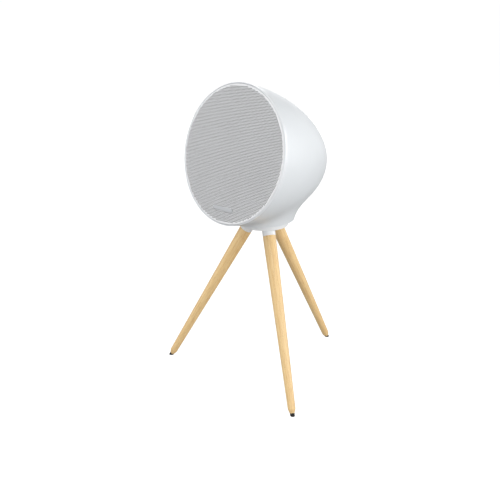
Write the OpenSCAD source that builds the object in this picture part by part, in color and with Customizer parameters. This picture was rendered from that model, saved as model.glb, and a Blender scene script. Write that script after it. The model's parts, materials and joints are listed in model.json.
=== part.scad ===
// Smart speaker: an egg-shaped head with a round perforated grille, on a turned-wood tripod.
// Millimetres, +Z up. The origin is on the floor on the tripod's axis, and the head faces -Y.

/* [Cabinet] */
// Diameter of the round grille
grille_d = 200; // [190:1:240]
// Width of the white lip around the grille
rim_lip = 2; // [1.5:0.1:3]
// Backward lean of the grille in degrees
face_tilt = 13; // [8:0.5:16]
// Distance of the grille's centre in front of the tripod's axis
face_y = 66; // [60:1:72]
// Depth of the cabinet along the driver axis, from grille to tail
head_depth = 186; // [180:1:225]
// Fullness of the cabinet along its depth
depth_power = 1.86; // [1.7:0.02:2]
// Fullness of the cabinet across its width
width_power = 1.66; // [1.5:0.02:1.9]
// Cabinet wall thickness
wall = 3; // [2.4:0.1:3.6]
// Height of the grille rim's lowest point above the base plane
chin_gap = 7.2; // [6:0.1:12]

/* [Neck] */
// Radius of the neck where it meets the base plane
neck_r = 50; // [48:0.5:54]
// Distance of the neck's centre in front of the tripod's axis
neck_y = 6.5; // [4:0.5:8]
// Growth of the neck's radius for each millimetre of height
neck_flare = 0.3; // [0.1:0.05:0.5]
// Size of the soft blend between neck and cabinet
neck_blend = 12; // [8:1:18]
// Height of the bonded ring inside the neck
neck_ring_h = 8; // [6:1:10]
// Inner radius of the bonded ring inside the neck
neck_ring_r = 38; // [36:0.5:39]
// Thickness of the base plate
plate_t = 6; // [6:0.5:8]
// Radius on which the base plate's screws stand
plate_screw_r = 42; // [41.5:0.1:42.5]

/* [Woofer] */
// Radius of the woofer's mounting flange
woofer_r = 62; // [58:0.5:64]
// Thickness of the woofer's flange
woofer_flange = 3; // [2.5:0.5:4]
// Outer radius of the woofer's cone
cone_r = 45; // [42:0.5:46]
// Depth of the woofer's basket below the baffle's face
basket_h = 34; // [32:1:38]
// Thickness of the woofer's steel top plate
top_plate_t = 6; // [5:0.5:7]
// Outer radius of the woofer's magnet
magnet_r = 42; // [38:0.5:44]
// Thickness of the woofer's magnet
magnet_t = 16; // [14:1:18]
// Radius of the steel pole inside the voice coil
pole_r = 12; // [11:0.5:13]
// Radial width of the magnetic gap
gap_w = 1.4; // [1.3:0.1:1.8]
// Travel of the cone each way
cone_travel = 4; // [3:0.5:4]

/* [Tweeter] */
// Radius of the tweeter's faceplate
tweeter_r = 24; // [22:0.5:25]
// Radius of the tweeter's dome
dome_r = 12.5; // [12:0.5:13]
// Height of the tweeter's dome
dome_h = 5; // [4:0.5:6]
// Radius of the tweeter's motor
tweeter_motor_r = 16.5; // [16:0.1:17]

/* [Baffle] */
// Depth of the baffle's front face behind the rim plane
baffle_z = 11; // [11:0.5:13]
// Thickness of the baffle
baffle_t = 5; // [4:0.5:6]
// Radial width of the ledge that the baffle is screwed to
ledge_w = 8.5; // [8:0.5:10]
// Thickness of the perforated grille sheet
grille_t = 1; // [0.8:0.1:1.2]
// Length of the blank badge bar
badge_w = 40; // [30:1:46]
// Height of the blank badge bar
badge_h = 6; // [5:0.5:8]

/* [Rear panel] */
// Radius of the round opening at the tail
port_r = 38; // [36:0.5:40]
// Depth of the panel's face below the edge of that opening
panel_recess = 2; // [1:0.5:3]
// Thickness of the rear panel
panel_t = 2.4; // [2:0.2:3]
// Radius of a push button
button_r = 4.9; // [4.5:0.1:5.4]
// Spacing of the push buttons
button_pitch = 13; // [12.6:0.1:13.4]
// Travel of a push button
button_travel = 0.8; // [0.5:0.1:1]
// Height of a push button above the panel
button_proud = 1.2; // [1:0.1:1.5]
// Radial gap around a push button
button_gap = 0.3; // [0.25:0.05:0.35]
// Distance of the row of sockets below the panel's centre
socket_drop = 13; // [12:0.5:14]
// Radius of the low-voltage inlet's bore
inlet_r = 2.85; // [2.6:0.05:3]
// Radius of the audio socket's bore
audio_r = 1.8; // [1.75:0.05:1.85]

/* [Boards] */
// Width of the main circuit board
board_w = 76; // [70:1:80]
// Depth of the main circuit board from front to back
board_l = 42; // [38:1:45]
// Thickness of every circuit board
pcb_t = 1.6; // [1:0.2:2]
// Height of the main board's standoffs
standoff_h = 5; // [4:0.5:7]
// Height of the board tray's feet
tray_h = 15; // [13:1:17]
// Thickness of the board tray
tray_t = 2.5; // [2:0.5:3]

/* [Stand] */
// Height of the hub's top face above the floor
hub_top = 252; // [210:1:302]
// Radius of the hub
hub_r = 37; // [35:0.5:40]
// Thickness of the hub's disc
hub_t = 10; // [6.5:0.5:12]
// Splay of each leg from the vertical in degrees
leg_splay = 29.3; // [26:0.1:32]
// Radius at which the legs' axes cross the hub's top face
leg_pitch_r = 17.2; // [16:0.1:19]
// Distance of each collar's end below the hub's top face, measured at its centre
collar_drop = 20.5; // [18:0.5:24]
// Diameter of a leg at its top
leg_top_d = 19.6; // [18:0.1:22]
// Diameter of a leg just above its chamfered tip
leg_tip_d = 11.2; // [10:0.1:13]
// Length of the chamfer at a leg's lower end
leg_chamfer = 6; // [4:0.5:8]
// Diameter of a rubber foot where it meets the wood
foot_d = 7; // [6:0.1:8]
// Length of wood-free rubber at a leg's lower end
foot_h = 3.5; // [3:0.1:5]
// Radius of the threaded stud in each leg
stud_r = 4; // [3:0.1:4.5]
// Length of each stud inside the leg
stud_in_leg = 22; // [18:1:26]
// Length of each stud inside the hub
stud_in_hub = 14; // [10:1:14]

/* [Swivel] */
// Height of the shadow gap between hub and head
swivel_gap = 1.5; // [1:0.1:2.5]
// Radius of the centre bolt's shank
bolt_r = 3.1; // [3:0.05:3.3]
// Radial clearance between the bolt and the threaded insert
thread_clear = 0.07; // [0.03:0.01:0.09]
// Radius of the arc that the stop pin runs in
stop_r = 23; // [22:0.5:24]
// Radius of the stop pin
pin_r = 1.5; // [1:0.1:2]
// Turn of the head each way in degrees
swivel_range = 90; // [45:5:90]

/* [Hidden] */
$fn = 64;
fit = 0.1;
rim_r = grille_d / 2 + rim_lip;
base_z = hub_top + swivel_gap;
face_z = base_z + chin_gap + rim_r * cos(face_tilt);
shell_front = 4;
fan_steps = 26;
ring_steps = 48;
bisections = 18;
reach = 1.7 * rim_r;

ring_bore = grille_d / 2 + 0.2;
spigot_r = rim_r - wall - 2;
baffle_r = spigot_r - 3.8;
baffle_back = baffle_z + baffle_t;
baffle_bore = baffle_r + 0.3;
ledge_r = baffle_bore - ledge_w;
ledge_t = 4;
grille_shelf = 3.2;
grille_front = 1.2;
skirt_t = 0.8;
badge_drop = 0.79 * grille_d / 2;
badge_t = 0.8;

driver_margin = 3;
woofer_y = -(baffle_r - woofer_r - driver_margin);
tweeter_y = baffle_r - tweeter_r - driver_margin;
screw_r = 1.5;
small_screw_r = 1.2;
faceplate_t = 3;
tweeter_screw_r = tweeter_r - 3.5;
baffle_screw_r = baffle_r - 4.2;
coil_in_r = pole_r + 0.4;
coil_out_r = coil_in_r + 0.5;
plate_bore_r = pole_r + gap_w;
plate_z = -basket_h - 2;
magnet_z = plate_z - top_plate_t;
yoke_z = magnet_z - magnet_t;
yoke_t = 6;
surround_w = 8;
cone_t = 0.8;
cone_depth = 24;
cap_r = 16;
cap_rise = 5;
coil_overhang = cone_travel + 1.5;
throat_r = cone_r - 6;

tail_z = tail_depth(port_r, 0) - panel_recess;
panel_r = port_r - 2.8;
frame_r = port_r - 0.3;
frame_bore = panel_r + 0.3;
flange_r = port_r + 6;
flange_z = tail_z - tail_depth(flange_r, wall) + 1.8;
flange_t = 2.5;
panel_ledge_r = port_r - 8.5;
panel_screw_r = panel_r - 2.8;
io_board_r = panel_ledge_r - 0.5;
io_z = -13;
button_y = 12;
post_r = 2.2;
post_ring = io_board_r - 4.5;
SWITCH_X = [for (i = [0:3]) (i - 1.5) * button_pitch];
switch_h = 3.5;
socket_x = 18;
socket_fit = 0.2;
power_nose_r = 4.4;
audio_nose_r = 3.4;
usb_w = 9.8;
usb_h = 4;
light_r = 1;

ring_z = base_z + plate_t;
tray_z = ring_z + neck_ring_h + tray_h;
board_z = tray_z + tray_t + standoff_h;
board_y = 5;
part_z = board_z + pcb_t;
standoff_r = 2.6;
board_pin_r = 1.4;
fin_t = 2;
fin_l = 20;
fin_pitch = 4.4;
fins = 6;
tray_foot_r = 3.2;
tray_foot_ring = neck_ring_r + tray_foot_r + 0.8;
FEET = [for (a = [38, 90, 142]) [tray_foot_ring * cos(a), tray_foot_ring * sin(a) - neck_y]];
board_reach = neck_r - wall + neck_flare * (tray_z - base_z) - 2;
HOLES = [for (x = [-1, 1], y = [0, 1]) [x * (board_w / 2 - 4 - 10 * y), board_y + 4 + y * 28]];

foot_circle_r = leg_pitch_r + hub_top * tan(leg_splay);
leg_end = (hub_top - collar_drop) / cos(leg_splay);
LEG_TURNS = [-150, -30, 90];
washer_in = 27.5;
washer_out = 32.5;
screw_sink = 2.4;
insert_r = 5;
insert_h = plate_t + 6;
pin_depth = 4;
bolt_head_r = 6;
bolt_seat = hub_top - hub_t + 4.2;

// ---- Cabinet outline -------------------------------------------------------------------------

// Depth along the driver axis at which the cabinet, inset by w, has radius r
function tail_depth(r, w) =
    (head_depth - w) * pow(1 - pow(r / (rim_r - w), width_power), 1 / depth_power);

// A point's depth behind the rim plane, and its distance from the driver axis
function axis_depth(p) = (p[1] + face_y) * cos(face_tilt) - (p[2] - face_z) * sin(face_tilt);
function axis_height(p) = (p[1] + face_y) * sin(face_tilt) + (p[2] - face_z) * cos(face_tilt);

// Below zero inside the egg, inset by w, and above zero outside
function egg_field(p, w) =
    let (
        depth = max(axis_depth(p), 0) / (head_depth - w),
        across = norm([p[0], axis_height(p)]) / (rim_r - w)
    )
    rim_r * (pow(pow(across, width_power) + pow(depth, depth_power), 1 / width_power) - 1);

// Below zero inside the flared neck, inset by w
function neck_field(p, w) =
    norm([p[0], p[1] + neck_y]) - (neck_r - w) - neck_flare * max(p[2] - base_z, 0);

// The egg and the neck joined with a soft blend, cut off above the neck's reach
function body_field(p, w) =
    let (
        a = egg_field(p, w),
        b = max(neck_field(p, w), p[2] - base_z - neck_r - 2 * neck_blend),
        h = min(max(0.5 + (b - a) / (2 * neck_blend), 0), 1)
    )
    b + (a - b) * h - neck_blend * h * (1 - h);

// Distance from c along direction d to the surface, by halving
function surface_at(c, d, w, lo, hi, n) =
    n == 0 ? (lo + hi) / 2
    : body_field(c + d * (lo + hi) / 2, w) < 0 ? surface_at(c, d, w, (lo + hi) / 2, hi, n - 1)
    : surface_at(c, d, w, lo, (lo + hi) / 2, n - 1);

// Sections fan out from the line where the shell's front plane meets its base plane
front_y = -face_y + shell_front * cos(face_tilt);
front_z = face_z - shell_front * sin(face_tilt);
fan_rho = (front_z - base_z) / cos(face_tilt);
fan_y = front_y - fan_rho * sin(face_tilt);
base_rho = -neck_y - fan_y;

// One closed section at turn t, from 0 at the front plane to 1 at the base plane
function section(t, w) =
    let (
        turn = face_tilt + t * (90 - face_tilt),
        up = [0, sin(turn), cos(turn)],
        mid = [0, fan_y, base_z] + up * (fan_rho + t * (base_rho - fan_rho))
    )
    [for (i = [0:ring_steps - 1])
        let (
            a = 360 * i / ring_steps,
            d = [sin(a), 0, 0] + up * cos(a)
        )
        mid + d * surface_at(mid, d, w, 0, reach, bisections)];

function strip(from, to, n) =
    [for (i = [0:n - 1]) let (j = (i + 1) % n) [from + i, from + j, to + j, to + i]];

// ---- Frames of reference ---------------------------------------------------------------------

// Local +Z points out of the grille, +Y up its face, with the rim plane at 0
module at_face(depth = 0) {
    translate([0, -face_y, face_z])
        rotate([90 - face_tilt, 0, 0])
        translate([0, 0, -depth])
        children();
}

// Local 0 is the baffle's front face on the woofer's axis
module at_woofer() {
    at_face(baffle_z) translate([0, woofer_y, 0]) children();
}

module at_tweeter() {
    at_face(baffle_z) translate([0, tweeter_y, 0]) children();
}

// Local +Z points out of the tail, +Y up, with the rear panel's face at 0
module at_tail() {
    at_face(tail_z) rotate([0, 180, 0]) children();
}

// Local +Z runs up a leg's axis from the floor
module at_leg(turn) {
    rotate([0, 0, turn])
        translate([foot_circle_r, 0, 0])
        rotate([0, -leg_splay, 0])
        children();
}

// A cutter for a hole right through a plate that stands on z = 0
module hole(r, h) {
    translate([0, 0, -1]) cylinder(r = r, h = h + 2);
}

module tube(r_out, r_in, h) {
    difference() {
        cylinder(r = r_out, h = h);
        hole(r_in, h);
    }
}

module around(count, r, first = 0) {
    for (i = [0:count - 1])
        rotate([0, 0, first + 360 * i / count]) translate([r, 0, 0]) children();
}

// A pan-head screw whose head sits on z = 0 and whose shank goes down
module screw(shank_r, length, head_r, head_h) {
    difference() {
        union() {
            cylinder(r = head_r, h = head_h);
            translate([0, 0, -length]) cylinder(r = shank_r, h = length);
        }
        translate([0, 0, head_h / 2]) cylinder(r = shank_r * 0.8, h = head_h, $fn = 6);
    }
}

module slot_bar(w, h, t) {
    linear_extrude(t) {
        square([w - h, h], center = true);
        for (s = [-1, 1]) translate([s * (w - h) / 2, 0]) circle(h / 2);
    }
}

// ---- Head: cabinet and grille ----------------------------------------------------------------

module cabinet_shell() {
    color("white")
        difference() {
            cabinet_skin();
            at_face(head_depth) cylinder(r = port_r, h = head_depth / 2);
        }
}

module cabinet_skin() {
    sides = [for (w = [0, wall]) for (k = [0:fan_steps]) each section(k / fan_steps, w)];
    n = ring_steps;
    inner = (fan_steps + 1) * n;
    last = fan_steps * n;
    polyhedron(
        points = sides,
        faces = concat(
            [for (k = [0:fan_steps - 1]) each strip(k * n, (k + 1) * n, n)],
            [for (k = [0:fan_steps - 1]) each strip(inner + (k + 1) * n, inner + k * n, n)],
            strip(inner, 0, n),
            strip(last, inner + last, n)
        ),
        convexity = 6
    );
}

// The section of a ring from one radius to another and one height to another
module ring_band(r_in, r_out, from, to) {
    translate([r_in, from]) square([r_out - r_in, to - from]);
}

module front_ring() {
    lip_r = 0.9;
    color("white")
        at_face()
        rotate_extrude()
        difference() {
            union() {
                ring_band(spigot_r, rim_r, -shell_front, 0);
                ring_band(ring_bore, rim_r - lip_r, 0, lip_r);
                translate([rim_r - lip_r, 0]) circle(lip_r);
                ring_band(baffle_bore, spigot_r, -baffle_back, -grille_shelf);
                ring_band(ledge_r, spigot_r, -baffle_back - ledge_t, -baffle_back);
            }
            ring_band(ledge_r - 1, ring_bore, -grille_shelf, grille_shelf);
        }
}

module grille() {
    color("lightgray")
        at_face()
        rotate_extrude()
        union() {
            ring_band(0, grille_d / 2, grille_front - grille_t, grille_front);
            ring_band(grille_d / 2 - skirt_t, grille_d / 2, -grille_shelf, grille_front);
        }
}

module badge() {
    color("silver")
        at_face()
        translate([0, -badge_drop, grille_front])
        slot_bar(badge_w, badge_h, badge_t);
}

module baffle() {
    color("dimgray")
        at_face(baffle_back)
        difference() {
            cylinder(r = baffle_r, h = baffle_t);
            translate([0, woofer_y, 0]) hole(woofer_r - 6, baffle_t);
            translate([0, tweeter_y, 0]) hole(tweeter_motor_r + 0.5, baffle_t);
            around(6, baffle_screw_r) hole(screw_r + fit, baffle_t);
        }
}

module baffle_screws() {
    color("black")
        at_face(baffle_z)
        around(6, baffle_screw_r)
        screw(screw_r, baffle_t, 2.8, 2);
}

// ---- Head: woofer ----------------------------------------------------------------------------

module woofer_basket() {
    rim_in = cone_r + surround_w - 1;
    color("darkslategray")
        at_woofer()
        difference() {
            rotate_extrude()
                polygon([
                    [rim_in, woofer_flange], [woofer_r, woofer_flange], [woofer_r, 0],
                    [woofer_r - 7, 0], [throat_r, -basket_h], [throat_r, plate_z],
                    [plate_bore_r + 3, plate_z], [plate_bore_r + 3, -basket_h],
                    [throat_r - 2.5, -basket_h], [rim_in, -2]
                ]);
            around(6, woofer_r - 4, 30) hole(screw_r + fit, woofer_flange);
            around(6, throat_r)
                translate([-8, -9, -basket_h + 5]) cube([26, 18, basket_h - 12]);
        }
}

module woofer_surround() {
    roll = surround_w / 2;
    color("black")
        at_woofer()
        translate([0, 0, woofer_flange])
        rotate_extrude()
        translate([cone_r + roll, 0])
        intersection() {
            difference() {
                circle(roll);
                circle(roll - 0.8);
            }
            translate([-roll, 0]) square([2 * roll, roll]);
        }
}

module woofer_cone() {
    color("gray")
        at_woofer()
        rotate_extrude()
        polygon([
            [coil_out_r, -cone_depth], [coil_out_r + 1.5, -cone_depth],
            [cone_r - 0.2, woofer_flange - cone_t], [cone_r - 0.2, woofer_flange],
            [cone_r - 2, woofer_flange], [coil_out_r, 2 * cone_t - cone_depth]
        ]);
}

// Height of the cone's front surface at radius r
function cone_front(r) =
    2 * cone_t - cone_depth
    + (r - coil_out_r) * (woofer_flange + cone_depth - 2 * cone_t) / (cone_r - 2 - coil_out_r);

// A spherical cap that covers the cone's centre
module woofer_dust_cap() {
    ball_r = (cap_r * cap_r + cap_rise * cap_rise) / (2 * cap_rise);
    color("gray")
        at_woofer()
        translate([0, 0, cone_front(cap_r)])
        rotate_extrude()
        intersection() {
            translate([0, cap_rise - ball_r])
                difference() {
                    circle(ball_r);
                    circle(ball_r - cone_t);
                }
            square([cap_r, cap_rise]);
        }
}

module woofer_voice_coil() {
    color("orange")
        at_woofer()
        translate([0, 0, magnet_z - coil_overhang])
        tube(coil_out_r, coil_in_r, coil_overhang - magnet_z - cone_depth + 1.5);
}

module woofer_spider() {
    color("goldenrod")
        at_woofer()
        translate([0, 0, -basket_h])
        tube(cone_r - 10, coil_out_r + 0.2, 0.6);
}

module woofer_top_plate() {
    color("gray")
        at_woofer()
        translate([0, 0, magnet_z])
        tube(magnet_r - 3, plate_bore_r, top_plate_t);
}

module woofer_magnet() {
    color("#303030")
        at_woofer()
        translate([0, 0, yoke_z])
        tube(magnet_r, plate_bore_r + 7, magnet_t);
}

module woofer_yoke() {
    color("silver")
        at_woofer()
        union() {
            translate([0, 0, yoke_z - yoke_t]) cylinder(r = magnet_r - 3, h = yoke_t);
            translate([0, 0, yoke_z - 1]) cylinder(r = pole_r, h = plate_z - yoke_z + 1);
        }
}

module woofer_screws() {
    color("black")
        at_woofer()
        translate([0, 0, woofer_flange])
        around(6, woofer_r - 4, 30)
        screw(screw_r, woofer_flange, 2.6, 1.8);
}

// ---- Head: tweeter and microphones -----------------------------------------------------------

module tweeter_faceplate() {
    color("black")
        at_tweeter()
        difference() {
            cylinder(r = tweeter_r, h = faceplate_t);
            translate([0, 0, 1]) cylinder(r1 = dome_r + 1.5, r2 = dome_r + 3.5, h = faceplate_t - 0.9);
            hole(dome_r + 1.5, 1);
            around(3, tweeter_screw_r, 90) hole(small_screw_r + fit, faceplate_t);
        }
}

module tweeter_dome() {
    ball_r = (dome_r * dome_r + dome_h * dome_h) / (2 * dome_h);
    color("silver")
        at_tweeter()
        rotate_extrude()
        union() {
            intersection() {
                translate([0, dome_h - ball_r])
                    difference() {
                        circle(ball_r);
                        circle(ball_r - 0.6);
                    }
                square([dome_r, dome_h]);
            }
            translate([dome_r - 0.8, -4]) square([0.5, 4.3]);
        }
}

module tweeter_motor() {
    color("#303030")
        at_tweeter()
        translate([0, 0, -14])
        difference() {
            cylinder(r = tweeter_motor_r, h = 13.9);
            translate([0, 0, 8]) tube(dome_r + 0.1, dome_r - 1.2, 6);
        }
}

module tweeter_screws() {
    color("black")
        at_tweeter()
        translate([0, 0, faceplate_t])
        around(3, tweeter_screw_r, 90)
        screw(small_screw_r, faceplate_t, 2.1, 1.4);
}

module microphone_boards() {
    color("green")
        at_face(baffle_z)
        for (s = [-1, 1])
            translate([s * 0.56 * baffle_r, 0.52 * baffle_r, 0])
            union() {
                translate([-8, -5, 0]) cube([16, 10, pcb_t]);
                translate([-2, -1.5, pcb_t]) cube([4, 3, 1.1]);
            }
}

// ---- Head: tail panel, buttons and sockets ---------------------------------------------------

module rear_frame() {
    color("white")
        at_tail()
        difference() {
            rotate_extrude()
                polygon([
                    [frame_bore, panel_recess - 0.6], [frame_r, panel_recess - 0.6],
                    [frame_r, -flange_z], [flange_r, -flange_z],
                    [flange_r, -flange_z - flange_t], [panel_ledge_r, -flange_z - flange_t],
                    [panel_ledge_r, -panel_t - 0.1], [frame_bore, -panel_t - 0.1]
                ]);
            around(4, panel_screw_r, 45)
                translate([0, 0, -flange_z]) cylinder(r = small_screw_r + fit, h = flange_z);
        }
}

module rear_panel() {
    color("whitesmoke")
        at_tail()
        difference() {
            union() {
                translate([0, 0, -panel_t]) cylinder(r = panel_r, h = panel_t);
                around(4, post_ring) translate([0, 0, io_z]) cylinder(r = post_r, h = -io_z - 1);
            }
            translate([0, 0, -panel_t]) {
                for (x = SWITCH_X) translate([x, button_y, 0]) hole(button_r + button_gap, panel_t);
                translate([-socket_x, -socket_drop, 0]) hole(power_nose_r + socket_fit, panel_t);
                translate([socket_x, -socket_drop, 0]) hole(audio_nose_r + socket_fit, panel_t);
                translate([0, -socket_drop, -1])
                    slot_bar(usb_w + 3 * socket_fit, usb_h + 3 * socket_fit, panel_t + 2);
                hole(light_r + socket_fit, panel_t);
                around(4, panel_screw_r, 45) hole(small_screw_r + fit, panel_t);
            }
        }
}

module rear_screws() {
    color("silver")
        at_tail()
        around(4, panel_screw_r, 45)
        screw(small_screw_r, panel_t + 3, 2.1, 1.3);
}

module io_board() {
    color("green")
        at_tail()
        translate([0, 0, io_z - pcb_t])
        cylinder(r = io_board_r, h = pcb_t);
}

module tact_switches() {
    color("#404040")
        at_tail()
        for (x = SWITCH_X)
            translate([x - 3, button_y - 3, io_z]) cube([6, 6, switch_h]);
}

module push_button(x) {
    stem_end = io_z + switch_h + button_travel + 0.1;
    flange_top = -panel_t - 0.2;
    at_tail()
        translate([x, button_y, 0])
        union() {
            translate([0, 0, flange_top - 1]) cylinder(r = button_r, h = button_proud - flange_top + 1);
            translate([0, 0, flange_top - 1.2]) cylinder(r = button_r + 1, h = 1.2);
            translate([0, 0, stem_end]) cylinder(r = 1.5, h = flange_top - stem_end);
        }
}

module button_power() { color("white") push_button(SWITCH_X[0]); }
module button_pairing() { color("white") push_button(SWITCH_X[1]); }
module button_volume_down() { color("white") push_button(SWITCH_X[2]); }
module button_volume_up() { color("white") push_button(SWITCH_X[3]); }

module status_light() {
    color("lightblue")
        at_tail()
        translate([0, 0, io_z])
        cylinder(r = light_r, h = -io_z - 0.1);
}

// Block with a round nose that fills its hole in the panel
module socket_body(side, nose_r) {
    translate([-side / 2, -side / 2, io_z]) cube([side, side, -io_z - panel_t - 0.1]);
    translate([0, 0, -panel_t - 0.5]) cylinder(r = nose_r, h = panel_t + 0.3);
}

module power_inlet() {
    color("black")
        at_tail()
        translate([-socket_x, -socket_drop, 0])
        union() {
            difference() {
                socket_body(10, power_nose_r);
                translate([0, 0, -10]) cylinder(r = inlet_r, h = 12);
            }
            translate([0, 0, -10.5]) cylinder(r = 1, h = 9.5);
        }
}

module audio_socket() {
    color("black")
        at_tail()
        translate([socket_x, -socket_drop, 0])
        difference() {
            socket_body(8, audio_nose_r);
            translate([0, 0, -12]) cylinder(r = audio_r, h = 14);
        }
}

module usb_socket() {
    color("silver")
        at_tail()
        translate([0, -socket_drop, 0])
        union() {
            difference() {
                translate([0, 0, io_z]) slot_bar(usb_w, usb_h, -io_z - 0.2);
                translate([0, 0, -8]) slot_bar(usb_w - 1.2, usb_h - 1.2, 9);
            }
            translate([-3, -0.35, -8.5]) cube([6, 0.7, 7]);
        }
}

// ---- Head: base and electronics --------------------------------------------------------------

module neck_ring() {
    seat = neck_r - wall - 0.4;
    color("white")
        difference() {
            translate([0, -neck_y, 0])
                difference() {
                    translate([0, 0, ring_z])
                        cylinder(
                            r1 = seat + neck_flare * plate_t,
                            r2 = seat + neck_flare * (plate_t + neck_ring_h),
                            h = neck_ring_h
                        );
                    translate([0, 0, ring_z - 1]) cylinder(r = neck_ring_r, h = neck_ring_h + 2);
                    around(4, plate_screw_r, 45)
                        translate([0, 0, ring_z - 1]) cylinder(r = screw_r + fit, h = neck_ring_h - 1);
                }
            for (p = FEET)
                translate([p[0], p[1], ring_z + neck_ring_h - 5]) cylinder(r = screw_r + fit, h = 6);
        }
}

module base_plate() {
    color("gainsboro")
        difference() {
            union() {
                translate([0, -neck_y, base_z]) cylinder(r = neck_r - wall - 0.6, h = plate_t);
                translate([0, 0, base_z + 1]) cylinder(r = 2 * insert_r, h = insert_h + 1);
            }
            translate([0, 0, base_z]) hole(insert_r + fit / 2, insert_h + 2);
            translate([0, 0, base_z - 1]) tube(washer_out + 0.2, washer_in - 0.2, 2);
            stop_slot();
            translate([0, -neck_y, base_z])
                around(4, plate_screw_r, 45) {
                    translate([0, 0, -1]) cylinder(r = 3.1, h = screw_sink + 1);
                    hole(screw_r + fit, plate_t);
                }
        }
}

// Arc that the stop pin runs in, centred on the back
module stop_slot() {
    half_w = pin_r + 0.5;
    spare = asin((pin_r + 0.5) / stop_r);
    sweep = 2 * (swivel_range + spare);
    rotate([0, 0, 90 - sweep / 2])
        translate([0, 0, base_z - 1])
        rotate_extrude(angle = sweep)
        translate([stop_r - half_w, 0])
        square([2 * half_w, plate_t - 1]);
}

module base_screws() {
    color("silver")
        translate([0, -neck_y, base_z + screw_sink])
        around(4, plate_screw_r, 45)
        rotate([180, 0, 0])
        screw(screw_r, plate_t - screw_sink + neck_ring_h - 3, 2.8, 1.9);
}

module threaded_insert() {
    color("gold")
        translate([0, 0, base_z + 1.5])
        tube(insert_r, bolt_r + thread_clear, insert_h);
}

module swivel_washer() {
    color("dimgray")
        translate([0, 0, hub_top + 0.1])
        tube(washer_out, washer_in, swivel_gap + 0.9);
}

// A straight-sided plate whose back follows the neck's round wall
module board_blank(z, t) {
    translate([0, 0, z])
        intersection() {
            translate([-board_w / 2, board_y, 0]) cube([board_w, board_l, t]);
            translate([0, -neck_y, -1]) cylinder(r = board_reach, h = t + 2);
        }
}

module board_tray() {
    color("darkgray")
        difference() {
            union() {
                board_blank(tray_z, tray_t);
                for (p = FEET)
                    translate([p[0], p[1], tray_z - tray_h]) cylinder(r = tray_foot_r, h = tray_h + 0.5);
            }
            for (p = FEET) translate([p[0], p[1], tray_z - tray_h]) hole(screw_r + fit, tray_h + tray_t);
            for (p = HOLES) translate([p[0], p[1], tray_z]) hole(1, tray_t);
        }
}

module tray_screws() {
    color("silver")
        for (p = FEET)
            translate([p[0], p[1], tray_z + tray_t])
            screw(screw_r, tray_t + tray_h + 4, 2.8, 2);
}

module main_board() {
    color("green")
        difference() {
            board_blank(board_z, pcb_t);
            for (p = HOLES) translate([p[0], p[1], board_z]) hole(board_pin_r + 0.2, pcb_t);
        }
}

module board_standoffs() {
    color("gold")
        for (p = HOLES)
            translate([p[0], p[1], 0])
            union() {
                translate([0, 0, tray_z + tray_t]) cylinder(r = standoff_r, h = standoff_h);
                translate([0, 0, board_z - 0.5]) cylinder(r = board_pin_r, h = pcb_t + 1);
                translate([0, 0, part_z]) cylinder(r = standoff_r, h = 1.5);
            }
}

module heatsink() {
    color("#505050")
        translate([-board_w / 2 + 7, board_y + 7, part_z])
        union() {
            cube([(fins - 1) * fin_pitch + fin_t, fin_l, 3]);
            for (i = [0:fins - 1]) translate([i * fin_pitch, 0, 2.5]) cube([fin_t, fin_l, 10]);
        }
}

module capacitors() {
    color("#202840")
        for (i = [0:1])
            translate([1 + i * 11, board_y + 33, part_z]) cylinder(r = 5, h = 16);
}

module inductors() {
    color("brown")
        for (i = [0:1])
            translate([1 + i * 14, board_y + 12, part_z]) tube(6, 2.5, 6);
}

module wireless_module() {
    color("silver")
        translate([board_w / 2 - 15, board_y + 8, part_z])
        union() {
            cube([14, 18, 1]);
            translate([1, 5, 0.5]) cube([12, 12, 2.5]);
        }
}

// ---- Stand -----------------------------------------------------------------------------------

module hub() {
    edge = 1.5;
    color("white")
        difference() {
            union() {
                rotate_extrude()
                    union() {
                        translate([0, hub_top - hub_t]) square([hub_r - edge, hub_t]);
                        translate([hub_r - edge, hub_top - hub_t + edge]) square([edge, hub_t - 2 * edge]);
                        for (z = [hub_top - edge, hub_top - hub_t + edge])
                            translate([hub_r - edge, z]) circle(edge);
                    }
                intersection() {
                    cylinder(r = 2 * hub_r, h = hub_top - 0.5);
                    for (turn = LEG_TURNS)
                        at_leg(turn)
                            translate([0, 0, leg_end]) cylinder(d = leg_top_d, h = collar_drop + leg_top_d);
                }
            }
            translate([0, 0, bolt_seat - 30]) cylinder(r = bolt_head_r + 1, h = 30);
            cylinder(r = bolt_r + fit, h = hub_top + 1);
            for (turn = LEG_TURNS)
                at_leg(turn) translate([0, 0, leg_end - 1]) cylinder(r = stud_r + fit, h = stud_in_hub + 1.5);
            translate([0, stop_r, hub_top - pin_depth]) cylinder(r = pin_r + fit / 2, h = pin_depth + 1);
        }
}

module stop_pin() {
    color("silver")
        translate([0, stop_r, hub_top - pin_depth])
        cylinder(r = pin_r, h = pin_depth + swivel_gap + plate_t - 2.6);
}

module centre_bolt() {
    head_h = 3.8;
    shank = base_z - bolt_seat + insert_h;
    color("dimgray")
        difference() {
            union() {
                translate([0, 0, bolt_seat - head_h]) cylinder(r = bolt_head_r, h = head_h);
                translate([0, 0, bolt_seat - 0.5]) cylinder(r = bolt_r, h = shank + 0.5);
            }
            translate([0, 0, bolt_seat - head_h - 1]) cylinder(r = 2.9, h = 3.2, $fn = 6);
        }
}

module leg_studs() {
    color("silver")
        for (turn = LEG_TURNS)
            at_leg(turn)
            translate([0, 0, leg_end - stud_in_leg])
            cylinder(r = stud_r, h = stud_in_leg + stud_in_hub);
}

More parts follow.
